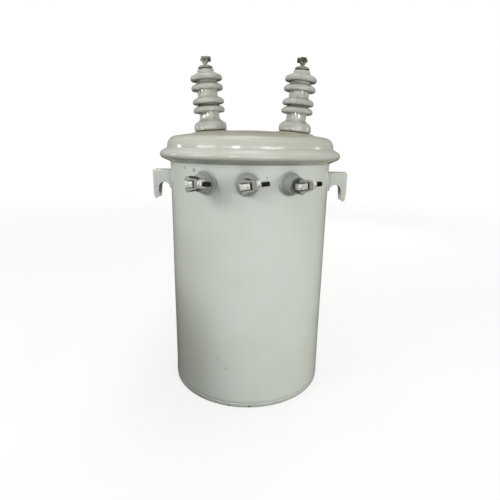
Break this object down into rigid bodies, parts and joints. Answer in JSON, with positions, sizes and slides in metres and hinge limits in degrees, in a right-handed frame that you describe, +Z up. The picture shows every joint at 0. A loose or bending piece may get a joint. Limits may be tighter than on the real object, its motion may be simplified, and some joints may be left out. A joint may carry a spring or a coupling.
{
  "type": "pole mounted distribution transformer",
  "caption": "Single phase pole transformer: round oil tank with domed cover, clamp band, high voltage bushings on top and low voltage clamps on the side.",
  "frame": {"origin": "on the tank's vertical axis, in the plane of its lower edge", "axes": "+Z up along the tank's axis, -Y towards the low voltage bushings, +Y towards the pole hangers, +X to the right seen from the low voltage side"},
  "size_m": [0.582, 0.602, 0.9729],
  "materials": {
    "tank_paint": "satin",
    "cover_paint": "satin",
    "hv_glaze": "gloss",
    "lv_glaze": "gloss",
    "gasket": "matte",
    "clamp_casting": "satin",
    "bright_steel": "satin",
    "dark_steel": "satin",
    "core_fill": "matte"
  },
  "bodies": {
    "root": {"tank_wall": "tank_paint", "tank_rim": "tank_paint", "tank_bottom": "tank_paint", "core_and_oil": "core_fill", "cover": "cover_paint", "clamp_band": "tank_paint", "band_bolt": "bright_steel", "band_nut": "bright_steel", "lifting_lug_left": "tank_paint", "lifting_lug_right": "tank_paint", "hanger_lower": "tank_paint", "hanger_upper": "tank_paint", "lv_gasket_left": "gasket", "lv_gasket_middle": "gasket", "lv_gasket_right": "gasket", "lv_porcelain_left": "lv_glaze", "lv_porcelain_middle": "lv_glaze", "lv_porcelain_right": "lv_glaze", "lv_yoke_left": "clamp_casting", "lv_yoke_middle": "clamp_casting", "lv_yoke_right": "clamp_casting", "lv_pad_left": "bright_steel", "lv_pad_middle": "bright_steel", "lv_pad_right": "bright_steel", "lv_screw_left": "dark_steel", "lv_screw_middle": "dark_steel", "lv_screw_right": "dark_steel", "lv_nut_left": "bright_steel", "lv_nut_middle": "bright_steel", "lv_nut_right": "bright_steel", "hv_gasket_left": "gasket", "hv_gasket_right": "gasket", "hv_porcelain_left": "hv_glaze", "hv_porcelain_right": "hv_glaze", "hv_cap_left": "clamp_casting", "hv_cap_right": "clamp_casting", "hv_terminal_left": "dark_steel", "hv_terminal_right": "dark_steel", "hv_screw_left": "bright_steel", "hv_screw_right": "bright_steel"}
  },
  "joints": []
}
